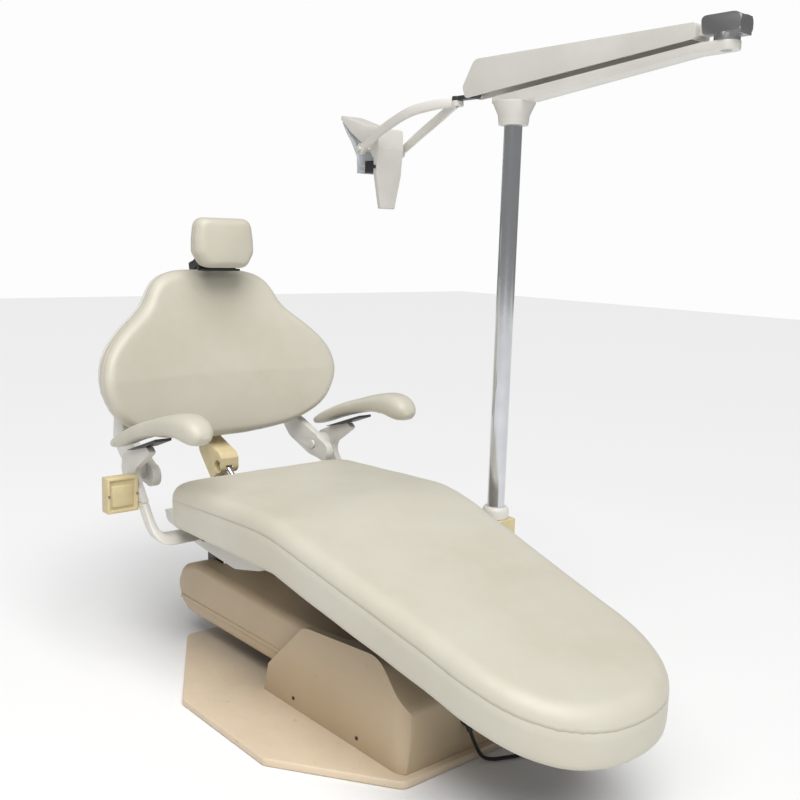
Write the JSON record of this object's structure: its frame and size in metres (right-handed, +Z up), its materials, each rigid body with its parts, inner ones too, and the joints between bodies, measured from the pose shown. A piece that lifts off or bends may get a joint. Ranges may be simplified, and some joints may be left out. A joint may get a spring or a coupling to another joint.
{
  "type": "dental patient chair",
  "caption": "Dental patient chair with a fixed leg rest, curved back on a hydraulic lift, sling armrests, headrest and an operating light on a folding arm on a post.",
  "frame": {"origin": "middle of the base plate's underside, on the floor", "axes": "+X to the patient's left, where the light post stands; +Y from the feet to the head; +Z up"},
  "size_m": [0.888, 1.6209, 1.5621],
  "materials": {
    "upholstery": "smooth stretched artificial leather, light greige",
    "tan_cover": "satin tan paint on folded sheet",
    "base_paint": "satin pale tan paint",
    "cream_paint": "satin off-white paint",
    "cream_plastic": "off-white moulded plastic",
    "block_plastic": "yellowed cream moulded plastic",
    "steel": "machined steel",
    "chrome": "polished chrome",
    "dark_steel": "black painted steel",
    "black_plastic": "black moulded plastic",
    "cord_rubber": "black mains flex",
    "lamp_shield": "clear moulded front shield"
  },
  "bodies": {
    "base": {"base_plate": "base_paint", "base_frame": "dark_steel", "pump_cover": "tan_cover", "pump_motor": "dark_steel", "oil_reservoir": "steel", "control_box": "cream_plastic", "cylinder_clevis": "dark_steel", "front_lower_pin": "steel", "front_upper_pin": "steel", "cord_gland": "black_plastic", "power_cord": "cord_rubber", "power_cord_coil": "cord_rubber", "power_plug": "black_plastic"},
    "lift_arm": {"lift_arm": "dark_steel", "lift_arm_cover": "tan_cover"},
    "lift_link": {"lift_link": "dark_steel"},
    "lift_cylinder": {"lift_cylinder": "steel"},
    "lift_rod": {"lift_piston_rod": "chrome"},
    "seat_carriage": {"upper_frame": "dark_steel", "rear_lower_pin": "steel", "rear_upper_pin": "steel", "under_seat_cover": "cream_plastic", "seat_plate": "dark_steel", "seat_cushion": "upholstery", "arm_sling_left": "cream_paint", "arm_sling_right": "cream_paint", "arm_upright_left": "cream_paint", "arm_upright_right": "cream_paint", "arm_pad_left": "upholstery", "arm_pad_right": "upholstery", "arm_pad_bracket_left": "dark_steel", "arm_pad_bracket_right": "dark_steel", "accessory_block": "block_plastic", "post_outrigger": "dark_steel", "post_block": "block_plastic", "light_post": "chrome", "post_collar": "cream_plastic"},
    "backrest": {"back_ear_left": "cream_paint", "back_ear_right": "cream_paint", "back_frame": "dark_steel", "back_support_bar": "block_plastic", "backrest_shell": "cream_plastic", "backrest_cushion": "upholstery", "headrest_guide": "black_plastic"},
    "recline_cylinder": {"recline_cylinder": "steel"},
    "recline_rod": {"recline_piston_rod": "chrome"},
    "headrest_bar": {"headrest_bar": "chrome"},
    "headrest": {"headrest_pan": "black_plastic", "headrest_cushion": "upholstery"},
    "headrest_lever": {"headrest_lever": "black_plastic"},
    "rigid_arm": {"rigid_arm": "cream_paint"},
    "elbow": {"elbow_hub": "steel"},
    "flex_arm": {"flex_arm_housing": "cream_paint"},
    "nose_knuckle": {"nose_knuckle": "dark_steel"},
    "yoke": {"light_yoke": "cream_paint"},
    "light_head": {"head_casting": "cream_plastic", "front_shield": "lamp_shield", "lamp_module": "black_plastic"},
    "light_switch": {"light_switch": "black_plastic"}
  },
  "joints": [
    {"name": "lift", "type": "hinge", "parent": "base", "child": "lift_arm", "pos_m": [0, -0.23, 0.11], "axis": [1, 0, 0], "range_deg": [0, 32]},
    {"name": "link_swing", "type": "hinge", "parent": "base", "child": "lift_link", "pos_m": [0, -0.23, 0.182], "axis": [1, 0, 0], "range_deg": [0, 32]},
    {"name": "carriage_level", "type": "hinge", "parent": "lift_arm", "child": "seat_carriage", "pos_m": [0, 0.45, 0.11], "axis": [1, 0, 0], "range_deg": [-32, 0]},
    {"name": "lift_cylinder_swing", "type": "hinge", "parent": "base", "child": "lift_cylinder", "pos_m": [0, -0.15, 0.055], "axis": [1, 0, 0], "range_deg": [0, 36]},
    {"name": "lift_rod_travel", "type": "slide", "parent": "lift_cylinder", "child": "lift_rod", "axis": [0, 0.995, 0.0995], "range_m": [0, 0.0435]},
    {"name": "recline", "type": "hinge", "parent": "seat_carriage", "child": "backrest", "pos_m": [0, 0.48, 0.502], "axis": [-1, 0, 0], "range_deg": [0, 60]},
    {"name": "recline_cylinder_swing", "type": "hinge", "parent": "seat_carriage", "child": "recline_cylinder", "pos_m": [0, 0.36, 0.345], "axis": [1, 0, 0], "range_deg": [0, 2.8]},
    {"name": "recline_rod_travel", "type": "slide", "parent": "recline_cylinder", "child": "recline_rod", "axis": [0, 0.8238, 0.5669], "range_m": [-0.0643, 0]},
    {"name": "headrest_height", "type": "slide", "parent": "backrest", "child": "headrest_bar", "axis": [0, 0.2181, 0.9759], "range_m": [0, 0.09]},
    {"name": "headrest_tilt", "type": "hinge", "parent": "headrest_bar", "child": "headrest", "pos_m": [0, 0.676, 1.012], "axis": [-1, 0, 0], "range_deg": [-5, 35]},
    {"name": "headrest_lever_turn", "type": "hinge", "parent": "headrest", "child": "headrest_lever", "pos_m": [0, 0.676, 1.012], "axis": [-1, 0, 0], "range_deg": [0, 25]},
    {"name": "rigid_arm_swivel", "type": "hinge", "parent": "seat_carriage", "child": "rigid_arm", "pos_m": [0.4, -0.137, 1.384], "axis": [0, 0, 1], "range_deg": [-175, 175]},
    {"name": "elbow_swivel", "type": "hinge", "parent": "rigid_arm", "child": "elbow", "pos_m": [0.4, -0.705, 1.511], "axis": [0, 0, 1], "range_deg": [-170, 170]},
    {"name": "flex_arm_tilt", "type": "hinge", "parent": "elbow", "child": "flex_arm", "pos_m": [0.4, -0.68, 1.54], "axis": [1, 0, 0], "range_deg": [0, 40]},
    {"name": "nose_level", "type": "hinge", "parent": "flex_arm", "child": "nose_knuckle", "pos_m": [0.4, -0.002, 1.468], "axis": [1, 0, 0], "range_deg": [-40, 0]},
    {"name": "yoke_swivel", "type": "hinge", "parent": "nose_knuckle", "child": "yoke", "pos_m": [0.4, 0.062, 1.459], "axis": [0, 0, 1], "range_deg": [-120, 120]},
    {"name": "head_tilt", "type": "hinge", "parent": "yoke", "child": "light_head", "pos_m": [0.4, 0.365, 1.347], "axis": [1, 0, 0], "range_deg": [-40, 40]},
    {"name": "light_switch_turn", "type": "hinge", "parent": "light_head", "child": "light_switch", "pos_m": [0.35, 0.336, 1.3], "axis": [1, 0, 0], "range_deg": [0, 60]}
  ],
  "couplings": [
    {"joint": "link_swing", "follows": "lift", "ratio": 1},
    {"joint": "carriage_level", "follows": "lift", "ratio": -1},
    {"joint": "lift_cylinder_swing", "follows": "lift", "ratio": 1.1209},
    {"joint": "lift_rod_travel", "follows": "lift", "m_per_rad": 0.077691},
    {"joint": "recline_cylinder_swing", "follows": "recline", "ratio": 0.0448},
    {"joint": "recline_rod_travel", "follows": "recline", "m_per_rad": -0.061281},
    {"joint": "nose_level", "follows": "flex_arm_tilt", "ratio": -1}
  ]
}
